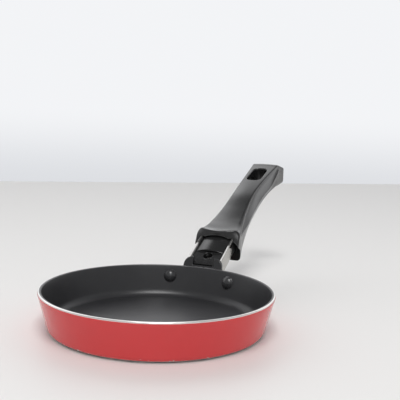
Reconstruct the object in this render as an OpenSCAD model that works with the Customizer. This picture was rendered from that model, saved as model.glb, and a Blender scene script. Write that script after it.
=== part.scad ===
// A small riveted frying pan with a fixed, rising handle.
// The pan stands on the plane z = 0, its axis is the Z axis, and the handle runs along +Y.
// Every length is in millimetres and every angle in degrees.

/* [Pan] */
// Diameter over the rim
rim_d = 160; // [140:5:200]
// Height from the table to the rim
rim_z = 26.5; // [22:0.5:34]
// Lean of the wall from upright
wall_lean = 14.9; // [8:0.5:20]
// Thickness of the aluminium wall
wall_t = 2.1; // [1.6:0.1:3]
// Thickness of the aluminium floor
floor_t = 2.9; // [2:0.1:4]
// Outer radius between the base and the wall
heel_r = 5; // [4:0.5:7]
// Inner radius between the floor and the wall
cove_r = 6.5; // [5:0.5:9]
// Thickness of the red enamel outside
enamel_t = 0.25; // [0.2:0.05:0.4]
// Thickness of the non-stick lining inside
lining_t = 0.25; // [0.2:0.05:0.4]
// Bare height left under the rim
bare_lip = 1.1; // [0.8:0.1:2]
// Height above the table where the enamel starts
enamel_from = 1.4; // [0.8:0.1:2.5]
// Number of rings turned into the base
ring_count = 9; // [4:1:11]
// Radius of the cutter that turned the rings
ring_r = 0.5; // [0.3:0.1:0.8]

/* [Rivets] */
// Angle of each rivet from the handle, seen from above
rivet_turn = 18.75; // [17:0.25:21]
// Depth of the rivets below the rim
rivet_drop = 8.7; // [7:0.1:10]
// Diameter of the rivet shanks
rivet_d = 5; // [4:0.1:6]
// Diameter of the domed heads inside the pan
rivet_head_d = 10.2; // [9:0.1:12]
// Height of the domed heads
rivet_head_h = 3.2; // [2:0.1:3.6]
// Diameter of the closed tails outside
rivet_tail_d = 8.4; // [7.5:0.1:10]
// Height of the closed tails
rivet_tail_h = 1.5; // [1:0.1:2]

/* [Bracket plate] */
// Thickness of the plate that is riveted to the wall
plate_t = 2.5; // [2:0.1:3]
// Radius of the plate's two wings round the rivets
wing_r = 7.6; // [7:0.1:8.2]
// Width across the two ears
ears_w = 32.5; // [31:0.5:36]
// Height of the ears above the rim
ear_h = 7.4; // [6.5:0.1:9]
// Width of the gap between the ears
ear_gap = 17.6; // [16:0.1:19]
// Height of the plate's middle above the rim
saddle_h = 1; // [0.6:0.1:1.2]
// Radius of the ears' upper outer corners
ear_r = 5.5; // [3:0.1:6]

/* [Steel channel] */
// Rise of the neck from level
neck_tilt = 28.8; // [24:0.2:30]
// Width over the channel's two sides
channel_w = 29; // [28:0.5:31]
// Depth of the channel, square to its slope
channel_h = 13.3; // [12:0.1:14]
// Thickness of the steel sheet
sheet_t = 1.6; // [1.2:0.1:2]
// Radius outside the channel's two bends
bend_r = 2.6; // [2.2:0.1:3.5]
// Width of the tang inside the handle
tang_w = 14; // [10:0.5:16]
// Length of the tang beyond the channel's sides
tang_len = 28; // [18:1:32]
// Depth of the heel that is welded to the plate
heel_drop = 8.5; // [6:0.5:9]

/* [Handle] */
// Distance from the rim to the handle's front face
neck_len = 27; // [24:0.5:30]
// Length of the handle from its front face to its end
handle_len = 153; // [130:1:180]
// Climb of the handle's top from the front to its highest point
handle_climb = 51; // [44:1:60]
// Height of the front edge of the handle's top above the rim
hood_rise = 25; // [23.5:0.5:28]
// Depth of the handle at its front
hood_h = 24.8; // [23:0.2:27]
// Width of the handle's top at its front
hood_w = 35; // [34:0.5:38]
// Width of the handle's waist
waist_w = 18.8; // [17:0.2:24]
// Depth of the handle at its waist
waist_h = 22.2; // [20:0.2:24]
// Width of the handle near its end
end_w = 25; // [20:0.5:28]
// How far the ridge along each side stands out
ridge_out = 2.6; // [1.6:0.1:3.2]
// Radius of the arch at the handle's mouth
arch_r = 26; // [24:0.5:32]
// Thickness of the hood above the arch
visor_t = 3.3; // [2.6:0.1:3.8]
// Depth of the recess behind the arch
mouth_d = 6; // [4:0.5:7]
// Radius of the hood's upper front edge, seen from above
bow_r = 30; // [27:1:60]
// Length of the hanging slot
slot_len = 29; // [22:1:34]
// Width of the hanging slot
slot_w = 13.5; // [11:0.5:15]
// Radius of the slot's corners
slot_r = 5; // [3:0.1:5.4]

/* [Fixing screw] */
// Diameter of the screw's thread
screw_d = 4; // [3:0.5:5]
// Diameter of the screw's head
screw_head_d = 6.6; // [6:0.1:6.8]
// Diameter of the counterbore over the head
counterbore_d = 7.4; // [7.2:0.1:8]
// Depth of the step from the tongue's crest down to the screw's seat
seat_drop = 2; // [1.4:0.1:2.2]
// Depth from the seat to the washer
counterbore_h = 6.2; // [5:0.2:6.4]
// Width across the flats of the square nut
nut_w = 7; // [6:0.5:8]
// Thickness of the nut
nut_h = 3.2; // [2.4:0.1:4]

/* [Hidden] */
$fn = 96;

// One overrun for every cut, and the running clearances
over = 1;
slide = 0.2;
rivet_slack = 0.05;

rim_r = rim_d / 2;
rim_chamfer = 0.4;

// Radius of the pan's outer wall at height z, for a surface that lies "out" millimetres outside it
function wall_r(z, out = 0) = rim_r - (rim_z - z) * tan(wall_lean) + out / cos(wall_lean);

// The solid inside a bowl-shaped surface, as half a section. "out" moves the wall outwards,
// "foot" is the height of the floor line and "r" the radius between the floor and the wall.
module bowl(out, foot, r, top) {
    cz = foot + r;
    cx = wall_r(cz, out) - r / cos(wall_lean);
    polygon([[0, foot], [cx, foot], [cx + r * cos(wall_lean), cz - r * sin(wall_lean)],
        [wall_r(top, out), top], [0, top]]);
    translate([cx, cz]) circle(r);
}

// The pan's nested surfaces, from the outside in
module enamel_face(top) { bowl(0, 0, heel_r, top); }
module metal_face(top) { bowl(-enamel_t, 0, heel_r, top); }
module metal_inside(top) { bowl(-enamel_t - wall_t, floor_t, cove_r + lining_t, top); }
module lining_inside(top) { bowl(-enamel_t - wall_t - lining_t, floor_t + lining_t, cove_r, top); }

// A straight cone on the line of the wall, to cut pieces that lie against it
module wall_cone(out, low, top) {
    rotate_extrude() polygon([[0, low], [wall_r(low, out), low], [wall_r(top, out), top], [0, top]]);
}

// Pan body: spun aluminium with a turned base and a bare rim
ring_in = 12;
ring_pitch = (wall_r(heel_r) - 2 * heel_r - ring_in) / ring_count;
module pan_body() {
    color("silver") difference() {
        rotate_extrude() difference() {
            metal_face(rim_z);
            metal_inside(rim_z + over);
            for (i = [0:ring_count - 1]) translate([ring_in + i * ring_pitch, 0]) circle(ring_r, $fn = 24);
            polygon([[wall_r(rim_z, -enamel_t) - rim_chamfer, rim_z], [wall_r(rim_z, over), rim_z],
                [wall_r(rim_z - rim_chamfer, -enamel_t), rim_z - rim_chamfer]]);
            polygon([[wall_r(rim_z, -enamel_t - wall_t) + rim_chamfer, rim_z],
                [wall_r(rim_z, -enamel_t - wall_t - over), rim_z],
                [wall_r(rim_z - rim_chamfer, -enamel_t - wall_t), rim_z - rim_chamfer]]);
        }
        rivet_holes();
    }
}

// Non-stick lining: the dark coat on the floor and inner wall
module nonstick_lining() {
    color("#2f2e31") difference() {
        rotate_extrude() difference() {
            metal_inside(rim_z - rim_chamfer);
            lining_inside(rim_z + over);
        }
        rivet_holes();
    }
}

// Red enamel: the coat on the outer wall, from above the heel to below the rim
module red_enamel() {
    color("#b9383b") difference() {
        rotate_extrude() intersection() {
            difference() {
                enamel_face(rim_z);
                metal_face(rim_z + over);
            }
            translate([0, enamel_from]) square([rim_r + over, rim_z - bare_lip - enamel_from]);
        }
        rivet_holes();
    }
}

// The rivets stand square to the wall, "side" is 1 for +X and -1 for -X
rivet_z = rim_z - rivet_drop;
lining_out = -enamel_t - wall_t - lining_t;
module at_rivet(side) {
    rotate([0, 0, -side * rivet_turn]) translate([0, wall_r(rivet_z), rivet_z])
        rotate([-90 - wall_lean, 0, 0]) children();
}
rivet_inner = enamel_t + wall_t + lining_t;
module rivet_holes() {
    for (side = [-1, 1]) at_rivet(side) translate([0, 0, -rivet_inner - over])
        cylinder(h = rivet_inner + plate_t + 2 * over, d = rivet_d + 2 * rivet_slack);
}

// A shallow dome of height h on a disc of diameter d, standing on a skirt that goes down from z = 0
module dome(d, h, skirt) {
    sphere_r = (d * d / 4 + h * h) / (2 * h);
    intersection() {
        translate([0, 0, h - sphere_r]) rotate([90, 0, 0]) sphere(sphere_r);
        translate([0, 0, -skirt]) cylinder(h = 2 * h + skirt, d = d);
    }
}

module rivet(side) {
    seat = rivet_head_h / 4;
    intersection() {
        at_rivet(side) mirror([0, 0, 1]) translate([0, 0, rivet_inner]) dome(rivet_head_d, rivet_head_h, seat);
        wall_cone(lining_out, 0, rim_z);
    }
    at_rivet(side) translate([0, 0, -rivet_inner - seat])
        cylinder(h = rivet_inner + plate_t + 2 * seat, d = rivet_d);
    difference() {
        at_rivet(side) translate([0, 0, plate_t]) dome(rivet_tail_d, rivet_tail_h, seat);
        wall_cone(plate_t, 0, rim_z);
    }
}
module rivet_left() { color("#4a494b") rivet(-1); }
module rivet_right() { color("#4a494b") rivet(1); }

// Bracket plate: a coated plate bent round the wall, with a wing at each rivet and two ears above the rim
wing_x = wall_r(rivet_z, plate_t) * sin(rivet_turn);
module plate_outline() {
    difference() {
        union() {
            for (side = [-1, 1]) translate([side * wing_x, rivet_z]) circle(wing_r);
            translate([-wing_x, rivet_z - wing_r]) square([2 * wing_x, 2 * wing_r]);
            translate([-ears_w / 2, rivet_z]) square([ears_w, rivet_drop + ear_h - ear_r]);
            translate([-ears_w / 2 + ear_r, rivet_z]) square([ears_w - 2 * ear_r, rivet_drop + ear_h]);
            for (side = [-1, 1]) translate([side * (ears_w / 2 - ear_r), rim_z + ear_h - ear_r]) circle(ear_r);
        }
        translate([-ear_gap / 2, rim_z + saddle_h]) square([ear_gap, ear_h]);
    }
}
module bracket_plate() {
    color("#26272a") difference() {
        intersection() {
            difference() {
                wall_cone(plate_t, 0, rim_z + ear_h + over);
                wall_cone(0, -over, rim_z + ear_h + 2 * over);
            }
            rotate([90, 0, 0]) translate([0, 0, -2 * rim_r]) linear_extrude(2 * rim_r) plate_outline();
        }
        rivet_holes();
    }
}

// The neck's own frame: its origin is on the line of the rails' top edges, level with the rim's outside
// and rail_drop above the rim, +Y climbs the slope and +Z is square to it
rail_rise = 4.1;
module in_neck() {
    translate([0, rim_r, rim_z + rail_rise]) rotate([neck_tilt, 0, 0]) children();
}
function climb(level) = level / cos(neck_tilt);

// Distance up the slope from the neck's origin to the fixing screw
screw_in = 10.5;

// The heel hangs below the line where the channel's floor meets the plate
heel_w = channel_w - 2 * bend_r;
heel_low = rim_z + rail_rise - channel_h / cos(neck_tilt) - heel_drop + sheet_t + plate_t;

// A U section, w wide and h deep below its open top, with rounded bends
module u_section(w, h, r) {
    translate([-w / 2, -h + r]) square([w, h - r]);
    translate([-w / 2 + r, -h]) square([w - 2 * r, r]);
    for (side = [-1, 1]) translate([side * (w / 2 - r), -h + r]) circle(r);
}

// How far the channel's sides reach behind the handle's front face, measured level
rail_seat = 7;
rail_end = climb(neck_len + rail_seat);

module along_slope(from, to) {
    translate([0, to, 0]) rotate([90, 0, 0]) linear_extrude(to - from) children();
}

// The tang: the floor's narrow end inside the handle; "gap" widens it to make its slot
module tang_form(gap) {
    translate([-tang_w / 2 - gap, rail_end - over, -channel_h - gap])
        cube([tang_w + 2 * gap, tang_len + over + gap, sheet_t + 2 * gap]);
}

// Steel channel: polished sheet folded into a U, with a tang into the handle and a heel on the plate
module steel_channel() {
    color("#d9d6cf") difference() {
        union() {
            difference() {
                in_neck() {
                    along_slope(-2 * channel_h, rail_end) difference() {
                        u_section(channel_w, channel_h, bend_r);
                        translate([0, over]) u_section(channel_w - 2 * sheet_t,
                            channel_h - sheet_t + over, bend_r - sheet_t);
                    }
                    tang_form(0);
                }
                wall_cone(plate_t, -rim_z, 3 * rim_z);
            }
            intersection() {
                difference() {
                    wall_cone(plate_t + sheet_t, 0, rim_z);
                    wall_cone(plate_t, -over, rim_z + over);
                }
                translate([-heel_w / 2, 0, heel_low]) cube([heel_w, 2 * rim_r, heel_drop]);
            }
        }
        in_neck() translate([0, screw_in, -2 * channel_h]) cylinder(h = 2 * channel_h, d = screw_d + 2 * slide);
    }
}
// Handle: one moulding with a tongue that lies in the channel, a hooded front, a ridged grip and a slot
tongue_w = channel_w - 2 * sheet_t - 2 * slide;
nose_w = ear_gap - 2 * slide;
tongue_crest = 0;
crown_r = 25;
shoulder_r = 4.5;
// The crown ends in a step, and the screw's seat lies in front of it
seat_len = 15.2;
seat_z = tongue_crest - seat_drop;

// Section of the tongue, square to the slope: a low crown with rounded shoulders
module tongue_section(w) {
    low = -channel_h + sheet_t + slide;
    intersection() {
        translate([0, tongue_crest - crown_r]) circle(crown_r);
        union() {
            translate([-w / 2, low]) square([w, tongue_crest - low - shoulder_r]);
            translate([-w / 2 + shoulder_r, low]) square([w - 2 * shoulder_r, tongue_crest - low]);
            for (side = [-1, 1]) translate([side * (w / 2 - shoulder_r), tongue_crest - shoulder_r])
                circle(shoulder_r);
        }
    }
}

nose_front = 1;
module tongue() {
    difference() {
        union() {
            // the wide part stays behind the plate
            difference() {
                in_neck() along_slope(0, rail_end + over) tongue_section(tongue_w);
                wall_cone(plate_t + slide, -rim_z, 3 * rim_z);
            }
            // the narrow nose reaches forward between the ears, over the plate's middle
            intersection() {
                in_neck() along_slope(-channel_h, rail_end) tongue_section(nose_w);
                translate([-nose_w / 2, rim_r + nose_front, rim_z + saddle_h + slide])
                    cube([nose_w, neck_len, ear_h + neck_len]);
            }
        }
        in_neck() translate([-channel_w, -channel_w, seat_z])
            cube([2 * channel_w, channel_w + seat_len, channel_h]);
    }
}

// The shares of the handle's length at which the tables below give its form
grip_at_shares = [0, 0.06, 0.14, 0.28, 0.42, 0.56, 0.70, 0.82, 0.85, 0.88, 1];
// Height of the top line, as a share of handle_climb
top_shares = [0, 0.018, 0.098, 0.302, 0.522, 0.698, 0.847, 0.967, 0.997, 0.99, 0.93];
// Depth of the grip, as a share of waist_h
depth_shares = [1, 1, 1, 0.98, 1.02, 0.93, 0.89, 0.95, 0.97, 0.96, 0.73];
// How much of the hood's extra depth and of its extra width is left
hood_h_shares = [1, 1.11, 0.14, 0, 0, 0, 0, 0, 0, 0, 0];
hood_w_shares = [1, 0.865, 0.543, 0.16, 0, 0, 0, 0, 0, 0, 0];
// How much of the end's extra width has come in
end_w_shares = [0, 0, 0, 0, 0, 0.13, 0.47, 0.87, 0.98, 1.03, 1.06];
// Where the ridge along each side runs, measured down from the top as a share of the depth there, and how
// much of its full width it has. Below the ridge the side draws in again.
ridge_at_shares = [0.2, 0.2, 0.32, 0.57, 0.63, 0.61, 0.62, 0.33, 0.25, 0.2, 0.2];
ridge_out_shares = [0, 0.05, 0.45, 1, 1, 1, 1, 0.7, 0.5, 0.3, 0];

// Index of the stretch that holds t, the slope at a knot, and a smooth curve through the knots
function stretch(t, i = 0) = i >= len(grip_at_shares) - 2 || t < grip_at_shares[i + 1] ? i : stretch(t, i + 1);
function knot_slope(v, i) =
    let (a = max(i - 1, 0), b = min(i + 1, len(v) - 1)) (v[b] - v[a]) / (grip_at_shares[b] - grip_at_shares[a]);
function curve(t, v) =
    let (i = stretch(t), h = grip_at_shares[i + 1] - grip_at_shares[i], u = (t - grip_at_shares[i]) / h)
    (2 * u ^ 3 - 3 * u ^ 2 + 1) * v[i] + (u ^ 3 - 2 * u ^ 2 + u) * h * knot_slope(v, i)
    + (3 * u ^ 2 - 2 * u ^ 3) * v[i + 1] + (u ^ 3 - u ^ 2) * h * knot_slope(v, i + 1);

// Radii of the long edges of the hood and of the grip, and small sizes of the section
hood_edge_r = 5;
grip_edge_r = 1.6;
hood_belly_r = 3;
grip_belly_r = 3.5;
top_crown = 0.4;
ridge_power = 1.6;
flank_out = 1.2;
hood_flare = 0.8;
// Radii of the edges round the front and round the end
front_r = 2.8;
end_r = 1.5;

// The widths are measured part-way round the top's edges, so the sides stand out by a share of the radius
edge_share = 0.35;

function grip_y(t) = rim_r + neck_len + t * handle_len;
function grip_top(t) = rim_z + hood_rise + handle_climb * curve(t, top_shares);
function grip_depth(t) = waist_h * curve(t, depth_shares) + (hood_h - waist_h) * curve(t, hood_h_shares);
function grip_half(t) = (waist_w + (hood_w - waist_w) * curve(t, hood_w_shares)
    + (end_w - waist_w) * curve(t, end_w_shares)) / 2;

// Counts of the points of half a section: the rounded edge, the side down to the ridge and the belly
edge_n = 4;
side_n = 8;
belly_n = 6;

// Half a section at t, from the middle of the top to the middle of the bottom, shrunk all round by "inset"
function half_section(t, inset) = let (
    k = curve(t, hood_w_shares),
    r = grip_edge_r + (hood_edge_r - grip_edge_r) * k,
    side = grip_half(t) + edge_share * r - inset,
    top = grip_top(t) - inset,
    low = grip_top(t) - grip_depth(t) + inset,
    ridge = top - max(grip_depth(t) * curve(t, ridge_at_shares), r + front_r),
    out = curve(t, ridge_out_shares),
    flank = side + flank_out * out + hood_flare * k,
    belly = min(grip_belly_r + (hood_belly_r - grip_belly_r) * k, ridge - low)
) concat(
    [[0, top + top_crown], [(side - r) / 2, top + top_crown * 3 / 4]],
    [for (i = [0:edge_n]) let (a = 90 * (1 - i / edge_n)) [side - r + r * cos(a), top - r + r * sin(a)]],
    [for (i = [1:side_n]) let (u = i / side_n)
        [side + ridge_out * out * u ^ ridge_power, top - r + (ridge - top + r) * u]],
    [for (i = [0:belly_n]) let (a = 90 * i / belly_n)
        [flank - belly + belly * cos(a), low + belly - belly * sin(a)]],
    [[0, low]]
);

// The hood's upper front corners are drawn back. This fades out downwards, where rise goes from 1 at the top
// to 0 at the bottom, and along the hood.
bow_share = 0.16;
bow_power = 3;
function bow(x, rise, t) =
    (bow_r - sqrt(bow_r ^ 2 - x ^ 2)) * max(0, min(1, rise)) ^ bow_power * max(0, 1 - t / bow_share);

// The whole ring at t: the right half going down and the left half coming up. Its points may be drawn
// towards the middle of the section by "shrink", which gives the rings that fill the bowed front.
function ring(t, inset, shrink = 1) = let (
    h = half_section(t, inset), n = len(h), deep = grip_depth(t), mid = grip_top(t) - deep / 2,
    whole = [for (p = concat(h, [for (i = [n - 2:-1:1]) [-h[i][0], h[i][1]]]))
        [p[0] * shrink, mid + (p[1] - mid) * shrink]]
) [for (p = whole) [p[0], grip_y(t) + bow(p[0], (p[1] - mid) / deep + 1 / 2, t), p[1]]];

grip_n = 36;
round_n = 4;
front_share = front_r / handle_len;
end_share = end_r / handle_len;
// Stations along the handle as [share of the length, inset]: rounded front edge, length, rounded end
stations = concat(
    [for (i = [0:round_n]) let (a = 90 * i / round_n) [front_share * (1 - cos(a)), front_r * (1 - sin(a))]],
    [for (i = [1:grip_n]) [front_share + (1 - front_share - end_share) * i / grip_n, 0]],
    [for (i = [1:round_n]) let (a = 90 * i / round_n) [1 - end_share * (1 - sin(a)), end_r * (1 - cos(a))]]
);

front_shares = [0.25, 0.5, 0.75];
module grip_form() {
    rings = concat([for (f = front_shares) ring(0, front_r, f)], [for (s = stations) ring(s[0], s[1])]);
    n = len(rings[0]);
    m = len(rings);
    polyhedron(
        points = concat([for (r = rings) each r], [[0, grip_y(0), grip_top(0) - grip_depth(0) / 2]]),
        faces = concat(
            [for (i = [0:n - 1]) [m * n, i, (i + 1) % n]],
            [for (j = [0:m - 2], i = [0:n - 1]) let (a = j * n + i, b = j * n + (i + 1) % n) each
                [[a, a + n, b], [b, a + n, b + n]]],
            [[for (i = [n - 1:-1:0]) (m - 1) * n + i]]
        )
    );
}

// Mouth of the hood: a recess under an arch
module mouth() {
    translate([0, rim_r + neck_len - over, rim_z + hood_rise - visor_t - arch_r])
        rotate([-90, 0, 0]) cylinder(h = mouth_d + over, r = arch_r);
}

// Hanging slot, square to the handle's top
slot_share = 0.682;
slot_tilt = 19;
module hanging_slot() {
    translate([0, grip_y(slot_share), grip_top(slot_share)]) rotate([slot_tilt, 0, 0])
        translate([0, 0, -2 * waist_h]) linear_extrude(3 * waist_h) {
            square([slot_w, slot_len - 2 * slot_r], center = true);
            square([slot_w - 2 * slot_r, slot_len], center = true);
            for (side = [-1, 1], end = [-1, 1])
                translate([side * (slot_w / 2 - slot_r), end * (slot_len / 2 - slot_r)]) circle(slot_r);
        }
}

module handle() {
    color("#4f4f50") difference() {
        union() {
            difference() {
                grip_form();
                mouth();
                in_neck() along_slope(0, rail_end + slide) translate([0, slide])
                    u_section(channel_w + 2 * slide, channel_h + 2 * slide, bend_r + slide);
            }
            tongue();
        }
        in_neck() {
            tang_form(slide);
            translate([0, screw_in, -2 * channel_h]) cylinder(h = 3 * channel_h, d = screw_d + 2 * slide);
            translate([0, screw_in, seat_z - counterbore_h])
                cylinder(h = 2 * counterbore_h, d = counterbore_d);
        }
        hanging_slot();
    }
}

// Fixing screw: it passes down through the tongue and the channel's floor into a square nut
washer_t = 0.8;
washer_d = counterbore_d - 2 * slide;
screw_head_h = 2.4;
screw_tip = 1.2;
drive_w = 1;
drive_l = 4;
washer_z = seat_z - counterbore_h;
nut_z = -channel_h - nut_h;

module fixing_screw() {
    head_z = washer_z + washer_t;
    color("#8c8c8e") in_neck() translate([0, screw_in, head_z]) difference() {
        union() {
            dome(screw_head_d, screw_head_h, 0);
            translate([0, 0, nut_z - screw_tip - head_z])
                cylinder(h = head_z + screw_tip - nut_z + screw_head_h / 2, d = screw_d);
        }
        for (turn = [0, 90]) rotate([0, 0, turn]) translate([-drive_l / 2, -drive_w / 2, screw_head_h / 2])
            cube([drive_l, drive_w, screw_head_h]);
    }
}

module screw_washer() {
    color("#a9a9ab") in_neck() translate([0, screw_in, washer_z]) difference() {
        cylinder(h = washer_t, d = washer_d);
        translate([0, 0, -over]) cylinder(h = washer_t + 2 * over, d = screw_d + 2 * slide);
    }
}

module square_nut() {
    color("#a9a9ab") in_neck() translate([0, screw_in, nut_z]) difference() {
        translate([-nut_w / 2, -nut_w / 2, 0]) cube([nut_w, nut_w, nut_h]);
        translate([0, 0, -over]) cylinder(h = nut_h + 2 * over, d = screw_d + 2 * rivet_slack);
    }
}

pan_body();
nonstick_lining();
red_enamel();
rivet_left();
rivet_right();
bracket_plate();
steel_channel();
handle();
fixing_screw();
screw_washer();
square_nut();
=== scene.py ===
# %% [markdown]
# # A small frying pan with a rising handle
#
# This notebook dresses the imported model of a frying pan: a spun aluminium body with a non-stick lining and a red
# enamelled wall, a bracket plate held by two rivets, a polished steel channel, and a black moulded handle.
# Sizes are written in millimetres, and the finished meshes are in metres, in the model's own frame. The pan stands
# on z = 0, its axis is the Z axis, and the handle runs along +Y.
#
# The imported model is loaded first. Its solids have the right sizes, but they are made of flat triangles, so most
# of them are replaced below by finer surfaces with rounded edges in the same place.

import bmesh
import bpy
import numpy as np
from mathutils import Matrix, Vector
from mathutils.geometry import delaunay_2d_cdt


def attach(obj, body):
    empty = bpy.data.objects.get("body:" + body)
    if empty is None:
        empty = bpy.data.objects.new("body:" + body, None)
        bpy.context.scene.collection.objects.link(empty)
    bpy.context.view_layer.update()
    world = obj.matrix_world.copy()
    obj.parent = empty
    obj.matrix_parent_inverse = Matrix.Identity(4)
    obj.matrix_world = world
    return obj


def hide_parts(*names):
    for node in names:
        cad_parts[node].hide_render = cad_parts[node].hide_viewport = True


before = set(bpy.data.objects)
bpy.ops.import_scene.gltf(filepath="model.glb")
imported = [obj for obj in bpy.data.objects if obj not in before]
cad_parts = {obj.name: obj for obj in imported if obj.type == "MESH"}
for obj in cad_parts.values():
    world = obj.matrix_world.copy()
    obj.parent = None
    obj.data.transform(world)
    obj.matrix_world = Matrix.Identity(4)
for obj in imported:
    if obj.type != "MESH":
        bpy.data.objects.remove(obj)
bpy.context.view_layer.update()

MM = 0.001
print("packed nodes:", sorted(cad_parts))

# %% [markdown]
# ## Where the camera stands
#
# A camera is known from the picture of a circle: the rim is round, so the ellipse that it makes gives the
# camera's height and distance, and the two ends of the wall give its tilt. The camera stands in front of the pan
# and a little above it, and the handle points away from it, 26 degrees to its right.

# %% Camera
RIM_R, RIM_Z = 80.0, 26.5
FOCAL_PX, PICTURE_PX, SENSOR_MM = 650.0, 400.0, 36.0
CLIP_M = 0.01, 50.0
CAMERA_DISTANCE, CAMERA_ELEVATION = 446.9, 13.9
HANDLE_TURN, CAMERA_YAW, CAMERA_PITCH, CAMERA_ROLL = 26.0, 3.51, 6.09, 1.97


def unit(v):
    """The vector of length 1 along v: v / |v|."""
    return np.asarray(v, float) / np.linalg.norm(v)


def turn_z(degrees):
    """Matrix that turns a point anticlockwise about Z, seen from above."""
    a = np.radians(degrees)
    return np.array([[np.cos(a), -np.sin(a), 0], [np.sin(a), np.cos(a), 0], [0, 0, 1]])


def add(name, data):
    """Puts an object with this data into the scene."""
    made = bpy.data.objects.new(name, data)
    bpy.context.scene.collection.objects.link(made)
    return made


def place_camera():
    """Stands the camera on its sphere round the rim's centre, then yaws, pitches and rolls it. Returns its place."""
    el, yaw, pitch, roll = np.radians([CAMERA_ELEVATION, CAMERA_YAW, CAMERA_PITCH, CAMERA_ROLL])
    spot = np.array([0, -CAMERA_DISTANCE * np.cos(el), CAMERA_DISTANCE * np.sin(el)])
    ahead = np.array([np.sin(yaw) * np.cos(pitch), np.cos(yaw) * np.cos(pitch), -np.sin(pitch)])
    right = np.array([np.cos(yaw), -np.sin(yaw), 0])
    above = np.cross(right, ahead)
    right, above = np.cos(roll) * right + np.sin(roll) * above, np.cos(roll) * above - np.sin(roll) * right
    turn = turn_z(HANDLE_TURN)
    place = turn @ spot + [0, 0, RIM_Z]
    data = bpy.data.cameras.new("camera")
    data.sensor_width = SENSOR_MM
    data.lens = FOCAL_PX / PICTURE_PX * SENSOR_MM
    data.clip_start, data.clip_end = CLIP_M
    axes = np.eye(4)
    axes[:3, 0], axes[:3, 1], axes[:3, 2] = turn @ right, turn @ above, -(turn @ ahead)
    axes[:3, 3] = place * MM
    camera = add("camera", data)
    camera.matrix_world = Matrix(axes.tolist())
    bpy.context.scene.camera = camera
    return place


print("camera at", place_camera().round(1), "mm")

# %% [markdown]
# ## Shader maths as Python
#
# A pattern is easier to read as a formula than as a list of nodes. `Value` wraps one output of a node, and its
# operators add Math nodes, so `0.4 + 0.1 * grain` makes two of them.

# %% Value
class Value:
    """One output socket of a shader tree, which can be used in an expression with numbers and other values."""

    def __init__(self, tree, socket):
        self.tree, self.socket = tree, socket

    def math(self, operation, *others):
        """Adds a Math node that works on this value and the others."""
        node = self.tree.nodes.new("ShaderNodeMath")
        node.operation = operation
        for slot, other in zip(node.inputs, (self, *others)):
            feed(self.tree, slot, other)
        return Value(self.tree, node.outputs[0])

    def __add__(self, other):
        return self.math("ADD", other)

    def __mul__(self, other):
        return self.math("MULTIPLY", other)

    def __sub__(self, other):
        return self.math("SUBTRACT", other)

    def __rsub__(self, other):
        return (self * -1) + other

    def __truediv__(self, other):
        return self.math("DIVIDE", other)

    def __pow__(self, other):
        return self.math("POWER", other)

    __radd__, __rmul__ = __add__, __mul__

    def clamp(self):
        """Limits the value to between 0 and 1."""
        return self.math("MAXIMUM", 0.0).math("MINIMUM", 1.0)

    def rise(self, low, high):
        """Goes smoothly from 0 at low to 1 at high: u * u * (3 - 2 * u), with u clamped between 0 and 1."""
        u = ((self - low) / (high - low)).clamp()
        return u * u * (3 - 2 * u)


def feed(tree, slot, value):
    """Links a value into a socket, or sets the socket's own constant."""
    if isinstance(value, Value):
        tree.links.new(value.socket, slot)
    else:
        slot.default_value = value


print("shader maths ready")

# %% [markdown]
# `Pattern` is a shader tree under construction, and its one method `node` adds any node that isn't a Math node.
# `Finish` is the tree of a material: one Principled shader, which patterns are fed into.

# %% Pattern and Finish
class Pattern:
    """A shader tree with the nodes that patterns are made of. It starts from one coordinate."""

    def __init__(self, tree, coordinate):
        self.tree = tree
        self.place = self.node("ShaderNodeTexCoord", {}, {}, coordinate)

    def node(self, kind, settings, inputs, out=0):
        """Adds a node: its settings first, then the constants or links of its inputs. Returns one output."""
        node = self.tree.nodes.new(kind)
        for key, value in settings.items():
            setattr(node, key, value)
        for key, value in inputs.items():
            feed(self.tree, node.inputs[key], value)
        return Value(self.tree, node.outputs[out])

    def parts(self):
        """The three coordinates of a point."""
        return [self.node("ShaderNodeSeparateXYZ", {}, {"Vector": self.place}, axis) for axis in "XYZ"]

    def noise(self, size_mm, detail=2.0):
        """Cloudy noise from 0 to 1 whose blobs are about size_mm across."""
        cloud = {"Vector": self.place, "Scale": 1 / (size_mm * MM), "Detail": detail}
        return self.node("ShaderNodeTexNoise", {}, cloud, "Fac")

    def stretched(self, sizes_mm, turn=(0, 0, 0), detail=2.0):
        """Noise with a different blob size along each axis, after the place is turned."""
        place = self.node("ShaderNodeMapping", {"vector_type": "TEXTURE"}, {
            "Vector": self.place, "Rotation": turn, "Scale": tuple(s * MM for s in sizes_mm)})
        return self.node("ShaderNodeTexNoise", {}, {"Vector": place, "Scale": 1.0, "Detail": detail}, "Fac")

    def mix(self, factor, a, b):
        """Goes from colour a to colour b as the factor goes from 0 to 1. Inputs 6 and 7 are the two colours."""
        a, b = [(*c, 1.0) if isinstance(c, tuple) else c for c in (a, b)]
        return self.node("ShaderNodeMix", {"data_type": "RGBA"}, {0: factor, 6: a, 7: b}, 2)


class Finish(Pattern):
    """A material: one Principled shader, whose sockets take constants and patterns."""

    def __init__(self, name, metallic=0.0, specular=0.5):
        self.material = bpy.data.materials.new(name)
        self.material.use_nodes = True
        super().__init__(self.material.node_tree, "Object")
        self.shader = self.tree.nodes["Principled BSDF"]
        self.set("Metallic", metallic)
        self.set("Specular IOR Level", specular)

    def set(self, socket, value):
        """Gives one of the shader's sockets a constant or a pattern."""
        feed(self.tree, self.shader.inputs[socket], value)
        return self

    def bump(self, height_mm):
        """Raises the surface by a height in millimetres."""
        height = {"Height": height_mm * MM, "Distance": 1.0}
        return self.set("Normal", self.node("ShaderNodeBump", {}, height, "Normal"))


print("patterns ready")

# %% [markdown]
# ## Surfaces from grids
#
# Every new piece is one or more grids of points: a shape is a function of two parameters, worked out for all
# of them at once. `Skin` collects grids, joins their seams and poles, and makes one closed mesh of them.

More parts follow.
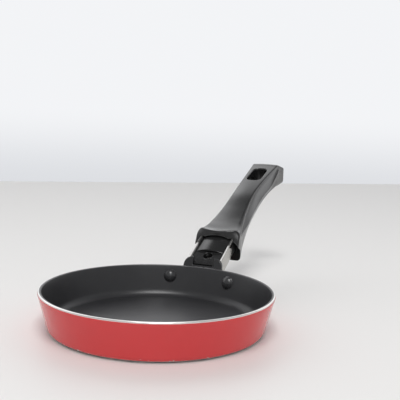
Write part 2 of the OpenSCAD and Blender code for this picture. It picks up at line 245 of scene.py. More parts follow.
# %% Skin
class Skin:
    """Collects grids and loose faces, and makes them into one mesh object."""

    def __init__(self):
        self.points, self.faces, self.count = [], [], 0

    def grid(self, points, across=False, along=False):
        """Adds an (m, n, 3) grid of points. across closes the second direction into a ring, along the first."""
        m, n, _ = points.shape
        index = np.arange(m * n).reshape(m, n) + self.count
        if across:
            index = np.concatenate([index, index[:, :1]], 1)
        if along:
            index = np.concatenate([index, index[:1]], 0)
        quads = np.stack([index[:-1, :-1], index[:-1, 1:], index[1:, 1:], index[1:, :-1]], -1).reshape(-1, 4)
        self.points.append(points.reshape(-1, 3))
        self.faces += quads.tolist()
        self.count += m * n
        return self

    def patch(self, points, faces):
        """Adds points and faces that index them."""
        self.points.append(np.asarray(points, float))
        self.faces += [[i + self.count for i in f] for f in faces]
        self.count += len(points)
        return self

    def tube(self, rows):
        """Adds a grid of closed rings with a face over its first and its last ring."""
        self.grid(rows, across=True)
        for row in (rows[0], rows[-1]):
            self.patch(row, [list(range(len(row)))])
        return self

    def mesh(self, name, join_mm=0.004, crease=38.0):
        """The joined mesh: doubles merged, open ends filled, faces turned outwards, smooth except across creases."""
        data = bpy.data.meshes.new(name)
        data.from_pydata((np.concatenate(self.points) * MM).tolist(), [], self.faces)
        work = bmesh.new()
        work.from_mesh(data)
        bmesh.ops.remove_doubles(work, verts=work.verts, dist=join_mm * MM)
        bmesh.ops.dissolve_degenerate(work, edges=work.edges, dist=join_mm * MM / 4)
        bmesh.ops.holes_fill(work, edges=[e for e in work.edges if e.is_boundary], sides=0)
        bmesh.ops.recalc_face_normals(work, faces=work.faces)
        work.to_mesh(data)
        work.free()
        return smooth(data, crease)


def smooth(data, crease=38.0):
    """Shades a mesh smoothly, with hard edges only where its faces turn by more than crease degrees."""
    data.polygons.foreach_set("use_smooth", np.ones(len(data.polygons), bool))
    data.set_sharp_from_angle(angle=np.radians(crease))
    return data


print("skins ready")

# %% [markdown]
# A piece is a mesh with its finish. It rides on the model's one body, and it stands
# for the imported solid that it replaces. A closed mesh has no open edges, so they are counted and printed.

# %% Pieces
def piece(name, shape, finish, slot, *nodes):
    """Puts a skin, or a finished mesh, into the scene with its finish, hangs it on the model's body and hides the
    solids that it replaces.
    """
    data = shape.mesh(name) if isinstance(shape, Skin) else shape
    made = add(name, data)
    data.materials.clear()
    data.materials.append(finish.material)
    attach(made, "root")
    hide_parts(*nodes)
    data.calc_loop_triangles()
    uses = np.zeros(len(data.loops), np.int32)
    data.loops.foreach_get("edge_index", uses)
    open_edges = np.count_nonzero(np.bincount(uses) == 1)
    print(f"{name}: {len(data.loop_triangles)} triangles, {open_edges} open edges")
    return made


print("pieces ready")

# %% [markdown]
# No real edge is perfectly sharp, so `rounded` turns a few corners into a smooth outline, and `quarter` gives the
# rows of an edge between two faces. `turned` carries an outline round the Z axis, as a lathe does.

# %% Points and outlines
def xyz(x, y, z):
    """Points from their three coordinates. One that they share may be a single number or one row."""
    return np.stack(np.broadcast_arrays(x, y, z), -1)


def quarter(radius, steps=5):
    """The quarter circle of an edge, from its first face to its second: how far it still lies from the second,
    r (1 - sin a), and how deep it lies under the first, r (1 - cos a)."""
    a = np.linspace(0, np.pi / 2, steps + 1)
    return radius * (1 - np.sin(a)), radius * (1 - np.cos(a))


def rounded(corners, radii, steps=5, closed=True):
    """A polygon whose corners are arcs. At a corner with radius r the arc touches both sides at a distance of
    r / tan(half the corner's angle); radii may be one number or one for each corner."""
    corners = np.asarray(corners, float)
    radii = np.broadcast_to(radii, len(corners))
    out = []
    for i, (p, r) in enumerate(zip(corners, radii)):
        before, after = corners[i - 1] - p, corners[(i + 1) % len(corners)] - p
        if r <= 0 or (not closed and i in (0, len(corners) - 1)):
            out.append(p[None])
            continue
        a, b = unit(before), unit(after)
        half = np.arccos(np.clip(a @ b, -1, 1)) / 2
        centre = p + unit(a + b) * r / np.sin(half)
        start, end = p + a * r / np.tan(half) - centre, p + b * r / np.tan(half) - centre
        total = np.arctan2(start[0] * end[1] - start[1] * end[0], start @ end)
        t = np.linspace(0, total, steps + 1)
        out.append(centre + np.outer(np.cos(t), start) + np.outer(np.sin(t), [-start[1], start[0]]))
    return np.concatenate(out)


def turned(profile, steps=288):
    """Turns an outline of (radius, height) pairs about the Z axis: x = r cos a, y = r sin a, z = height."""
    profile = np.asarray(profile, float)
    a = np.arange(steps) * 2 * np.pi / steps
    return xyz(profile[:, :1] * np.cos(a), profile[:, :1] * np.sin(a), profile[:, 1:])


print("outlines ready")

# %% [markdown]
# ## The pan's wall as one formula
#
# The body, the lining and the enamel are nested skins of the same form: a flat floor, an arc and a straight
# leaning wall. One function gives that line at any distance from the outside, so the skins always fit.

# %% The line of the wall
WALL_LEAN, WALL_T, FLOOR_T = np.radians(14.9), 2.1, 2.9
HEEL_R, COVE_R, ENAMEL_T, LINING_T = 5.0, 6.5, 0.25, 0.25
ENAMEL_FROM, BARE_LIP, LINING_TOP = 1.4, 1.1, RIM_Z - 0.4
RIM_EDGE_R, COAT_EDGE_R = 0.7, 0.1
LINING_OUT = -ENAMEL_T - WALL_T - LINING_T


def wall_r(z, out=0.0):
    """Radius of the wall at height z, on a surface that lies out millimetres outside the enamel."""
    return RIM_R - (RIM_Z - z) * np.tan(WALL_LEAN) + out / np.cos(WALL_LEAN)


def bowl_line(out, foot, r, low, top, arc=14, floor=2):
    """Outline of a bowl from its axis, along the floor, round an arc of radius r and up the wall. Where low is
    above the floor the line starts on the arc at that height."""
    cz = foot + r
    cx = wall_r(cz, out) - r / np.cos(WALL_LEAN)
    start = -np.pi / 2 if low <= foot else np.arcsin((low - cz) / r)
    a = np.linspace(start, -WALL_LEAN, arc + 1)
    curve = np.stack([cx + r * np.cos(a), cz + r * np.sin(a)], -1)
    z = np.linspace(curve[-1, 1], top, 7)[1:]
    wall = np.stack([wall_r(z, out), z], -1)
    base = np.stack([np.linspace(0, cx, floor + 1)[:-1], np.full(floor, foot)], -1) if low <= foot else wall[:0]
    return np.concatenate([base, curve, wall])


def lipped(outer, inner, edge, steps=4):
    """One outline of two lines that run side by side: out along the first, over a lip whose two corners are arcs,
    and back along the second."""
    lip = rounded([outer[-2], outer[-1], inner[-1], inner[-2]], edge, steps, closed=False)[1:-1]
    return np.concatenate([outer[:-1], lip, inner[:-1][::-1]])


print("rim radius", wall_r(RIM_Z), "base radius", round(wall_r(HEEL_R) - HEEL_R, 1))

# %% [markdown]
# ### Bare aluminium
#
# The body is spun and turned on a lathe, so its bare faces carry fine rings round the axis. The rings are a
# pattern on the radius alone: noise that is read along one line, used for the bump and for the roughness. The
# rim is brighter than the base, which meets the hob, and overspray of the lining greys the inner half of its top.

# %% Bare aluminium finish
aluminium = Finish("bare_aluminium", metallic=1.0)
x, y, z = aluminium.parts()
radius = (x * x + y * y) ** 0.5
lathe = aluminium.node("ShaderNodeTexNoise", {"noise_dimensions": "1D"},
                       {"W": radius + z * 0.7, "Scale": 1 / (0.35 * MM), "Detail": 3.0}, "Fac")
worn = aluminium.noise(14, 4.0)
base = 1 - z.rise(0.5 * MM, 4 * MM)
bare = aluminium.mix(base * worn.rise(0.35, 0.75) * 0.7, (0.82, 0.81, 0.79), (0.56, 0.55, 0.53))
outer_half = radius.rise((RIM_R - 1.6) * MM, (RIM_R - 1.2) * MM)
sprayed = z.rise((RIM_Z - 1) * MM, (RIM_Z - 0.5) * MM) * (1 - outer_half)
aluminium.set("Base Color", aluminium.mix(sprayed * 0.9, bare, (0.07, 0.07, 0.075)))
aluminium.set("Roughness", 0.24 + 0.12 * lathe + 0.14 * base * worn + 0.15 * sprayed)
aluminium.bump(lathe * 0.012)
print("aluminium finish ready")

# %% [markdown]
# ### Turned body
#
# The body is one closed outline turned about the axis: up the outside, over the rim, down the inside. Nine
# half-round grooves are turned into the base. The rim's two corners are arcs.

# %% Turned body
RING_COUNT, RING_R, RING_IN = 9, 0.5, 12.0
RING_PITCH = (wall_r(HEEL_R) - 2 * HEEL_R - RING_IN) / RING_COUNT


def base_rings(steps=8):
    """The base line with a half circle cut upwards at each ring: r = centre - R cos a, z = R sin a."""
    a = np.linspace(0, np.pi, steps + 1)
    centres = RING_IN + RING_PITCH * np.arange(RING_COUNT)
    r = centres[:, None] - RING_R * np.cos(a)
    rings = np.stack([r, np.broadcast_to(RING_R * np.sin(a), r.shape)], -1)
    return np.concatenate([[[0, 0]], rings.reshape(-1, 2)])


outside = bowl_line(-ENAMEL_T, 0, HEEL_R, 0, RIM_Z)[2:]
inside = bowl_line(-ENAMEL_T - WALL_T, FLOOR_T, COVE_R + LINING_T, 0, RIM_Z)
body = np.concatenate([base_rings(), lipped(outside, inside, RIM_EDGE_R, 6)])
piece("turned_body", Skin().grid(turned(body), across=True), aluminium, "bare_aluminium", "pan_body")

# %% [markdown]
# ### Non-stick lining
#
# The lining is sprayed and baked, so it is a satin dark grey with a fine pebbled grain. The grain is what breaks
# the highlight in the corner between floor and wall into small sparks. Rougher and smoother patches, a few
# millimetres across, keep the floor from looking like plastic.

# %% Non-stick finish and lining
nonstick = Finish("nonstick_lining")
grain, fine, cloud = nonstick.noise(0.9, 3.0), nonstick.noise(0.3, 2.0), nonstick.noise(9, 3.0)
dark, pale = (0.017, 0.017, 0.018), (0.032, 0.032, 0.035)
nonstick.set("Base Color", nonstick.mix(fine * 0.6 + cloud * 0.4, dark, pale))
nonstick.set("Roughness", 0.27 + 0.08 * cloud + 0.07 * fine)
nonstick.bump(grain * 0.06 + fine * 0.014)

lining = lipped(bowl_line(-ENAMEL_T - WALL_T, FLOOR_T, COVE_R + LINING_T, 0, LINING_TOP, floor=12),
                bowl_line(LINING_OUT, FLOOR_T + LINING_T, COVE_R, 0, LINING_TOP, floor=12), COAT_EDGE_R)
piece("nonstick_skin", Skin().grid(turned(lining), across=True), nonstick, "nonstick", "nonstick_lining")

# %% [markdown]
# ### Red enamel
#
# The outside is a glossy red lacquer over the aluminium. Close to, such a coat has a faint orange-peel waviness and
# a slightly uneven depth of colour. Along its lower edge, where the pan is slid over hobs, a few small chips
# show the metal. They are noise, kept only in a band near the foot. The coat is a thin strip, carried round the
# axis, that lies on the wall and has rounded ends.

# %% Enamel finish and coat
enamel = Finish("red_enamel")
x, y, z = enamel.parts()
peel, depth, chips = enamel.noise(2.2, 2.0), enamel.noise(26, 3.0), enamel.noise(3.1, 4.0)
foot = 1 - z.rise(1.6 * MM, 4.2 * MM)
chip = (chips + foot * 0.12).rise(0.755, 0.775) * foot
red = enamel.mix(depth, (0.64, 0.042, 0.046), (0.70, 0.052, 0.056))
enamel.set("Base Color", enamel.mix(chip, red, (0.62, 0.60, 0.57)))
enamel.set("Roughness", 0.11 + 0.06 * depth + 0.3 * chip)
enamel.bump(peel * 0.012 - chip * 0.05)

faces = [bowl_line(out, 0, HEEL_R, ENAMEL_FROM, RIM_Z - BARE_LIP) for out in (0, -ENAMEL_T)]
coat = turned(lipped(*faces, COAT_EDGE_R))
piece("enamel_coat", Skin().grid(coat, across=True, along=True), enamel, "red_enamel", "red_enamel")

# %% [markdown]
# ## Rivets
#
# Two aluminium rivets go through the wall and the bracket plate. Inside the pan they have a low domed head under
# the same dark coat, outside a smaller closed tail. A rivet is an outline turned about its own axis and then laid
# square to the wall. The foot of its head is pulled onto the wall's cone, so no gap shows round it.

# %% Rivet finish and rivets
RIVET_TURN, RIVET_Z, RIVET_D = 18.75, RIM_Z - 8.7, 5.0
HEAD_D, HEAD_H, TAIL_D, TAIL_H, PLATE_T = 10.2, 3.2, 8.4, 1.5, 2.5
SKIRT_H, DOME_EDGE_R, DOME_EDGE_UP, RIVET_STEPS = 0.4, 0.3, 0.25, 72

rivet_coat = Finish("rivet_coat")
grain, rub = rivet_coat.noise(0.5, 3.0), rivet_coat.noise(3, 3.0)
rivet_coat.set("Base Color", rivet_coat.mix(rub, (0.022, 0.022, 0.024), (0.05, 0.05, 0.052)))
rivet_coat.set("Roughness", 0.22 + 0.10 * rub)
rivet_coat.bump(grain * 0.02)


def dome_line(diameter, height, steps=14):
    """Outline of a dome from its pole down: a circle's arc, a rounded edge and a short skirt. The circle's radius is
    (d * d / 4 + h * h) / (2 * h)."""
    ball = (diameter ** 2 / 4 + height ** 2) / (2 * height)
    edge = np.arcsin(diameter / 2 / ball)
    a = np.linspace(0, edge, steps)
    arc = np.stack([ball * np.sin(a), height - ball + ball * np.cos(a)], -1)
    corners = [arc[-2], arc[-1] + [0, DOME_EDGE_UP], [diameter / 2, -SKIRT_H]]
    rim = rounded(corners, [0, DOME_EDGE_R, 0], 4, closed=False)
    return np.concatenate([arc[:-2], rim])


def at_rivet(points, side):
    """From a rivet's own frame, Z along its axis and out of the pan, to the model's: tipped over by the wall's lean,
    moved to the wall and turned about the pan's axis."""
    t = np.pi / 2 + WALL_LEAN
    tip = np.array([[1, 0, 0], [0, np.cos(t), np.sin(t)], [0, -np.sin(t), np.cos(t)]])
    moved = points @ tip.T + [0, wall_r(RIVET_Z), RIVET_Z]
    return moved @ turn_z(-side * RIVET_TURN).T


def onto_cone(points, out):
    """Moves points straight in or out from the pan's axis until they lie on a surface of the wall."""
    r = np.hypot(points[..., 0], points[..., 1])
    scale = wall_r(points[..., 2], out) / r
    return points * xyz(scale, scale, 1)


def rivet(side):
    """Head, tail and shank as grids, with a flat ring from the foot of each dome to the shank. The feet lie on the
    wall and on the plate."""
    head = turned(dome_line(HEAD_D, HEAD_H), RIVET_STEPS) * [1, 1, -1] + [0, 0, LINING_OUT]
    tail = turned(dome_line(TAIL_D, TAIL_H), RIVET_STEPS) + [0, 0, PLATE_T]
    head, tail = at_rivet(head, side), at_rivet(tail, side)
    head[-1], tail[-1] = onto_cone(head[-1], LINING_OUT), onto_cone(tail[-1], PLATE_T)
    shank = at_rivet(turned([[RIVET_D / 2, LINING_OUT], [RIVET_D / 2, PLATE_T]], RIVET_STEPS), side)
    shank = np.stack([onto_cone(shank[0], LINING_OUT), onto_cone(shank[1], PLATE_T)])
    skin = Skin()
    for rings in (head, tail, shank, np.stack([head[-1], shank[0]]), np.stack([tail[-1], shank[1]])):
        skin.grid(rings, across=True)
    return skin


for name, side in (("rivet_left", -1), ("rivet_right", 1)):
    piece(name + "_turned", rivet(side), rivet_coat, "coated_rivet", name)

# %% [markdown]
# ## Bracket plate
#
# The bracket is pressed from flat sheet and bent round the wall, so it is made the same way: an outline in the
# flat, filled with a net of points, given a thickness with rounded edges, and then every point is moved straight
# back until it lies on the wall's cone.

# %% Flat sheet with rounded edges
def left_of(steps):
    """Unit vectors square to some steps in a plane, to their left: (-y, x) / |(x, y)|."""
    return np.stack([-steps[:, 1], steps[:, 0]], -1) / np.linalg.norm(steps, axis=1)[:, None]


def filled(flat, count):
    """Triangles between flat points, whose first count points are the closed outline."""
    rim = [(i, (i + 1) % count) for i in range(count)]
    found = delaunay_2d_cdt([Vector(p) for p in flat], rim, [], 1, 1e-6)
    return np.array([tuple(p) for p in found[0]]), found[2]


def sheet_from(outline, thickness, edge, step=1.6, steps=3):
    """A flat sheet in the outline's plane, third coordinate from 0 to thickness: the rings of its rim, and the
    points and triangles of a face. The rings follow a quarter circle at each face."""
    n = len(outline)
    inward = left_of(np.roll(outline, -1, 0) - outline) + left_of(outline - np.roll(outline, 1, 0))
    inward /= (np.linalg.norm(inward, axis=1) ** 2 / 2)[:, None]
    level, inset = quarter(edge, steps)
    rings = [np.column_stack([outline + inward * i, np.full(n, h)]) for i, h in (
        *zip(inset[::-1], level[::-1]), *zip(inset, thickness - level))]
    lip = outline + inward * inset[-1]
    low, high = outline.min(0), outline.max(0)
    net = np.stack(np.meshgrid(*[np.arange(l + step / 2, h, step) for l, h in zip(low, high)]), -1).reshape(-1, 2)
    gap = np.min(np.linalg.norm(net[:, None] - outline[None], axis=2), axis=1)
    net = net[gap > step * 0.6]
    return np.stack(rings), *filled(np.concatenate([lip, net]), n)


def sheet(outline, thickness, edge, place):
    """A skin of a sheet's rim and its two faces, each point put in place by the function place."""
    rings, points, faces = sheet_from(outline, thickness, edge)
    skin = Skin().grid(place(rings), across=True)
    for height in (0.0, thickness):
        skin.patch(place(xyz(points[:, 0], points[:, 1], height)), faces)
    return skin


print("sheet helpers ready")

# %% [markdown]
# The plate's black coat is thicker than the lining and nearly smooth. It is thinner on the upper corners of the
# ears, where hands and hobs rub it.

# %% Plate finish and plate
WING_R, EARS_W, EAR_H, EAR_GAP, SADDLE_H, EAR_R = 7.6, 32.5, 7.4, 17.6, 1.0, 6.6
WING_X = wall_r(RIVET_Z, PLATE_T) * np.sin(np.radians(RIVET_TURN))
PLATE_EDGE_R, SADDLE_R, SHOULDER_R, LOBE_R, PLATE_STEP = 0.45, 0.5, 1.2, WING_R - 0.01, 1.4

black_coat = Finish("black_coat")
x, y, z = black_coat.parts()
grain, rub = black_coat.noise(1.3, 2.0), black_coat.noise(2.5, 4.0)
ear_top = z.rise((RIM_Z + EAR_H - 2.2) * MM, (RIM_Z + EAR_H) * MM)
thin = ear_top * rub.rise(0.5, 0.75)
black_coat.set("Base Color", black_coat.mix(thin, (0.018, 0.018, 0.019), (0.09, 0.088, 0.085)))
black_coat.set("Roughness", 0.13 + 0.10 * rub)
black_coat.bump(grain * 0.04)


def plate_outline():
    """Half the outline from the middle of the saddle round the ear and the wing to the middle of the foot, then
    its mirror image. A lobe's radius is a hair under its half height, so a short line is left between its arcs."""
    half, top, gap = EARS_W / 2, RIM_Z + EAR_H, EAR_GAP / 2
    shoulder, foot = RIVET_Z + WING_R, RIVET_Z - WING_R
    right = rounded([[0, RIM_Z + SADDLE_H], [gap, RIM_Z + SADDLE_H], [gap, top], [half, top], [half, shoulder],
                     [WING_X + WING_R, shoulder], [WING_X + WING_R, foot], [0, foot]],
                    [0, SADDLE_R, SADDLE_R, EAR_R, SHOULDER_R, LOBE_R, LOBE_R, 0], 9, closed=False)
    left = right[1:-1][::-1] * [-1, 1]
    return np.concatenate([right, left])


def round_wall(points):
    """(x, z, out) to the model's frame: y is what puts the point out millimetres outside the wall's cone."""
    x, z, out = points[..., 0], points[..., 1], points[..., 2]
    return xyz(x, np.sqrt(wall_r(z, out) ** 2 - x ** 2), z)


def resampled(line, step):
    """The same closed outline with a point at least every step millimetres."""
    out = []
    for p, q in zip(line, np.roll(line, -1, 0)):
        count = max(1, int(np.ceil(np.linalg.norm(q - p) / step)))
        out.append(p + (q - p) * np.arange(count)[:, None] / count)
    return np.concatenate(out)


plate_line = resampled(plate_outline(), PLATE_STEP)[::-1]
piece("bent_plate", sheet(plate_line, PLATE_T, PLATE_EDGE_R, round_wall), black_coat, "coated_steel",
      "bracket_plate")

# %% [markdown]
# ## Steel channel
#
# The neck is a strip of polished steel folded into a U that climbs at 28.8 degrees. It is drawn in a frame of its
# own, Y up the slope and Z square to it, and then put in place. At its foot each line of its section starts where it
# meets the plate, which is found in a few steps, each of which corrects what the last one missed by.

# %% The neck's frame
NECK_TILT, RAIL_RISE, NECK_LEN = np.radians(28.8), 4.1, 27.0
CHANNEL_W, CHANNEL_H, SHEET_T, BEND_R = 29.0, 13.3, 1.6, 2.6
RAILS_IN_MOUTH = 7.0
RAIL_END = (NECK_LEN + RAILS_IN_MOUTH) / np.cos(NECK_TILT)


def in_neck(points):
    """From the neck's frame, Y up the slope and Z square to it, to the model's frame."""
    c, s = np.cos(NECK_TILT), np.sin(NECK_TILT)
    x, y, z = points[..., 0], points[..., 1], points[..., 2]
    return xyz(x, RIM_R + y * c - z * s, RIM_Z + RAIL_RISE + y * s + z * c)


def slope_start(x, z, out):
    """Distance up the slope at which a line of the section leaves the surface out millimetres off the wall."""
    y = np.zeros_like(x)
    for _ in range(6):
        p = in_neck(xyz(x, y, z))
        miss = np.hypot(p[..., 0], p[..., 1]) - wall_r(p[..., 2], out)
        y = y - miss / (np.cos(NECK_TILT) - np.sin(NECK_TILT) * np.tan(WALL_LEAN))
    return y


print("channel runs", round(RAIL_END, 1), "mm up the slope")

# %% [markdown]
# The steel is brushed along the slope and brown round the welds. Its sheared edges are matt and pale, and inside the
# handle's mouth it is rougher and darkened by a painted shade. All these places are masks, worked out from the
# coordinates.

# %% Steel finish
WELD_Z = 15.5

steel = Finish("polished_steel", metallic=1.0)
brush = steel.stretched((0.25, 14.0, 0.25), (float(NECK_TILT), 0, 0), 3.0)
haze, smear = steel.noise(6, 3.0), steel.noise(1.4, 3.0)
x, y, z = steel.parts()
weld = 1 - ((x * x + (z - WELD_Z * MM) * (z - WELD_Z * MM)) ** 0.5).rise(3 * MM, 9 * MM)
height = (z - (RIM_Z + RAIL_RISE) * MM) * float(np.cos(NECK_TILT)) - (y - RIM_R * MM) * float(np.sin(NECK_TILT))
side = x.math("ABSOLUTE").rise((CHANNEL_W / 2 - 0.4) * MM, (CHANNEL_W / 2 - 0.1) * MM)
sheared = height.rise(-3 * MM, -1.5 * MM) * (1 - side)
hood = (RIM_R + NECK_LEN) * MM
# Painted shade: the steel goes dark towards the hood's mouth, and its outer sides go dark inside the handle.
painted_mouth_shade = (1 - side) * y.rise(hood - 8 * MM, hood - 5.5 * MM) * (0.75 + 0.25 * smear)
painted_shade = painted_mouth_shade + side * y.rise(hood, hood + 1 * MM)
bright = steel.mix(haze, (0.45, 0.437, 0.415), (0.53, 0.516, 0.493))
edge = steel.mix(sheared, steel.mix(weld * 0.6, bright, (0.46, 0.37, 0.28)), (0.80, 0.79, 0.77))
steel.set("Base Color", steel.mix(painted_shade, edge, (0.05, 0.05, 0.05)))
steel.set("Roughness", 0.10 + 0.13 * brush + 0.08 * smear + 0.4 * sheared + 0.3 * painted_shade)
steel.bump(brush * 0.004)
print("steel finish ready")

# %% [markdown]
# The channel's section is a closed outline with rounded lips, carried up the slope. A flat end closes it at the top,
# and at the foot an end that is bent as the plate is.

# %% Channel
CHANNEL_LIP_R, CHANNEL_ROWS = 0.35, 25


def u_line(inset, steps=8):
    """A line round the channel's section from one lip to the other, inset from its outside: two bends whose radius
    is the outer one less the inset."""
    w, h = CHANNEL_W / 2 - inset, CHANNEL_H - inset
    return rounded([[-w, 0], [-w, -h], [w, -h], [w, 0]], BEND_R - inset, steps, closed=False)


def with_more(line, count=3):
    """The same line with count more points on its first and on its last side."""
    t = np.linspace(0, 1, count + 2)[1:-1, None]
    return np.concatenate([line[:1], line[0] + (line[1] - line[0]) * t, line[1:-1],
                           line[-2] + (line[-1] - line[-2]) * t, line[-1:]])


def channel():
    """Rows of the section from the plate up the slope: y = start + (end - start) s. The two ends are filled with
    triangles, of which the lower one lies on the plate."""
    outer, inner = with_more(u_line(0)), with_more(u_line(SHEET_T))
    left = rounded([outer[1], outer[0], inner[0], inner[1]], CHANNEL_LIP_R, 4, closed=False)[1:-1]
    right = rounded([inner[-2], inner[-1], outer[-1], outer[-2]], CHANNEL_LIP_R, 4, closed=False)[1:-1]
    loop = np.concatenate([outer[1:-1], right[::-1], inner[1:-1][::-1], left[::-1]])
    start = slope_start(loop[:, 0], loop[:, 1], PLATE_T)
    y = start + (RAIL_END - start) * np.linspace(0, 1, CHANNEL_ROWS)[:, None]
    walls = xyz(loop[:, 0], y, loop[:, 1])
    skin = Skin().grid(in_neck(walls), across=True)
    for at_plate, row in ((True, walls[0]), (False, walls[-1])):
        flat, faces = filled(row[:, [0, 2]], len(row))
        depth = slope_start(flat[:, 0], flat[:, 1], PLATE_T) if at_plate else RAIL_END
        skin.patch(in_neck(xyz(flat[:, 0], depth, flat[:, 1])), faces)
    return skin


print("channel's section has", len(with_more(u_line(0))), "points on its outside")

# %% [markdown]
# A heel, bent down from the channel's floor, is spot welded to the plate. It is one section, carried across from
# side to side, that moves back with the wall as the wall curves away.

# %% Heel
HEEL_W, HEEL_DROP, HEEL_BEND_R, HEEL_REACH = CHANNEL_W - 2 * BEND_R, 8.5, 2.2, 4.0
HEEL_FOOT_R, HEEL_LIP_R, HEEL_SIDE = [0.3, 0.5], 0.6, [0.35, 0.1]


def under(y):
    """Height of the channel's underside, in the plane x = 0: a straight line that climbs with the neck."""
    return RIM_Z + RAIL_RISE - CHANNEL_H / np.cos(NECK_TILT) + (y - RIM_R) * np.tan(NECK_TILT)


HEEL_LOW = under(RIM_R) - HEEL_DROP + SHEET_T + PLATE_T


def add_heel(skin, across=25):
    """The heel's section in the plane x = 0: down the plate, round the foot and up to the channel's underside with
    a rounded inner corner. Off the middle each point moves back as the wall's cone does: by r - sqrt(r^2 - x^2)."""
    top = under(wall_r(RIM_Z, PLATE_T))
    inner_low, inner_top = [wall_r(HEEL_LOW, PLATE_T), HEEL_LOW], [wall_r(top, PLATE_T), top + 0.3]
    outer_low = [wall_r(HEEL_LOW, PLATE_T + SHEET_T), HEEL_LOW]
    lean, climb = np.tan(WALL_LEAN), np.tan(NECK_TILT)
    y = (outer_low[0] + (under(RIM_R) - RIM_R * climb - HEEL_LOW) * lean) / (1 - climb * lean)
    far = [y + HEEL_REACH, under(y + HEEL_REACH)]
    line = rounded([inner_low, outer_low, [y, under(y)], far, [far[0], far[1] + SHEET_T / 2],
                    [inner_top[0] + HEEL_LIP_R, inner_top[1] + HEEL_LIP_R], inner_top],
                   [*HEEL_FOOT_R, HEEL_BEND_R, 0, 0, 0, 0], 6)
    pinch = np.concatenate([HEEL_SIDE, np.zeros(across - 4), HEEL_SIDE[::-1]])
    centre = line.mean(0)
    inward = (centre - line) / np.linalg.norm(line - centre, axis=1)[:, None]
    section = line + inward * pinch[:, None, None]
    x = np.linspace(-1, 1, across)[:, None] * HEEL_W / 2
    radius = wall_r(section[..., 1], PLATE_T)
    back = radius - np.sqrt(radius ** 2 - x ** 2)
    on_slope = section[..., 0] > y - 0.5
    return skin.tube(xyz(x, section[..., 0] - back, section[..., 1] - back * climb * on_slope))


piece("folded_channel", add_heel(channel()), steel, "polished_steel", "steel_channel")

# %% [markdown]
# ## Handle
#
# The handle is one moulding of black phenolic: a tongue that lies in the channel, a hood with an arched mouth,
# and a grip with a ridge along each side. Its outside is a loft, a section that changes along the length. The tables
# give a few shares of the main sizes, and a smooth curve through them gives every value between.

# %% The loft's tables and curves
HANDLE_LEN, CLIMB, HOOD_RISE = 153.0, 51.0, 25.0
HOOD_H, HOOD_W, WAIST_W, WAIST_H, END_W, RIDGE_OUT = 24.8, 35.0, 18.8, 22.2, 25.0, 2.6
KNOTS = np.array([0, 0.06, 0.14, 0.28, 0.42, 0.56, 0.70, 0.82, 0.85, 0.88, 1])
SHARES = {
    "top": [0, 0.018, 0.098, 0.302, 0.522, 0.698, 0.847, 0.967, 0.997, 0.99, 0.93],
    "depth": [1, 1, 1, 0.98, 1.02, 0.93, 0.89, 0.95, 0.97, 0.96, 0.73],
    "hood_h": [1, 1.11, 0.14, 0, 0, 0, 0, 0, 0, 0, 0],
    "hood_w": [1, 0.865, 0.543, 0.16, 0, 0, 0, 0, 0, 0, 0],
    "end_w": [0, 0, 0, 0, 0, 0.13, 0.47, 0.87, 0.98, 1.03, 1.06],
    "ridge_at": [0.2, 0.2, 0.32, 0.57, 0.63, 0.61, 0.62, 0.33, 0.25, 0.2, 0.2],
    "ridge_out": [0, 0.05, 0.45, 1, 1, 1, 1, 0.7, 0.5, 0.3, 0],
}


def curve(t, name):
    """Smooth cubic curve through a table: the slope at a knot is that of the line through its neighbours."""
    v = np.array(SHARES[name], float)
    before, after = np.maximum(np.arange(len(v)) - 1, 0), np.minimum(np.arange(len(v)) + 1, len(v) - 1)
    slope = (v[after] - v[before]) / (KNOTS[after] - KNOTS[before])
    i = np.clip(np.searchsorted(KNOTS, t, "right") - 1, 0, len(v) - 2)
    h = KNOTS[i + 1] - KNOTS[i]
    u = (t - KNOTS[i]) / h
    return ((2 * u ** 3 - 3 * u ** 2 + 1) * v[i] + (u ** 3 - 2 * u ** 2 + u) * h * slope[i]
            + (3 * u ** 2 - 2 * u ** 3) * v[i + 1] + (u ** 3 - u ** 2) * h * slope[i + 1])


def grip_y(t):
    """Y at a share t of the handle's length."""
    return RIM_R + NECK_LEN + t * HANDLE_LEN


def grip_top(t):
    """Height of the top: the hood's height and a share of the climb."""
    return RIM_Z + HOOD_RISE + CLIMB * curve(t, "top")


def grip_depth(t):
    """Height of the section: a share of the waist's, and more of it at the hood."""
    return WAIST_H * curve(t, "depth") + (HOOD_H - WAIST_H) * curve(t, "hood_h")


def grip_half(t):
    """Half the width of the top: the waist's, wider at the hood and at the end."""
    return (WAIST_W + (HOOD_W - WAIST_W) * curve(t, "hood_w") + (END_W - WAIST_W) * curve(t, "end_w")) / 2


share = np.linspace(0, 1, 6)
print("top of the handle:", grip_top(share).round(1))

# %% [markdown]
# Half a section goes from the middle of the top over a rounded edge, down a hollow side to a ridge that stands out,
# in again along a plain flank, and round the belly to the middle of the underside. The whole ring is that half and
# its mirror image. The hood's upper front corners are drawn back and a little raised, so the front edge sags in the
# middle, and its front is a bowed face: rings that shrink towards its middle fill it.

# %% The loft
GRIP_EDGE_R, HOOD_EDGE_R, GRIP_BELLY_R, HOOD_BELLY_R = 1.6, 5.0, 3.5, 3.0
CROWN, FLANK_OUT, HOOD_FLARE, RIDGE_POWER, EDGE_SHARE = 0.38, 1.2, 0.8, 1.6, 0.35
FRONT_R, END_R, BOW_R, BOW_SHARE, BOW_POWER = 1.1, 1.5, 30.0, 0.16, 3
RIDGE_ROOM, CORNER_LIFT, LIFT_SHARE = 2.8, 1.4, 0.2


def bow(x, z, t):
    """How far a point of the hood lies behind its front: R - sqrt(R^2 - x^2), times the cube of its share of the
    height, times a share that fades along the hood."""
    rise = np.clip((z - grip_top(t)) / grip_depth(t) + 1, 0, 1)
    return (BOW_R - np.sqrt(BOW_R ** 2 - x ** 2)) * rise ** BOW_POWER * np.maximum(0, 1 - t / BOW_SHARE)


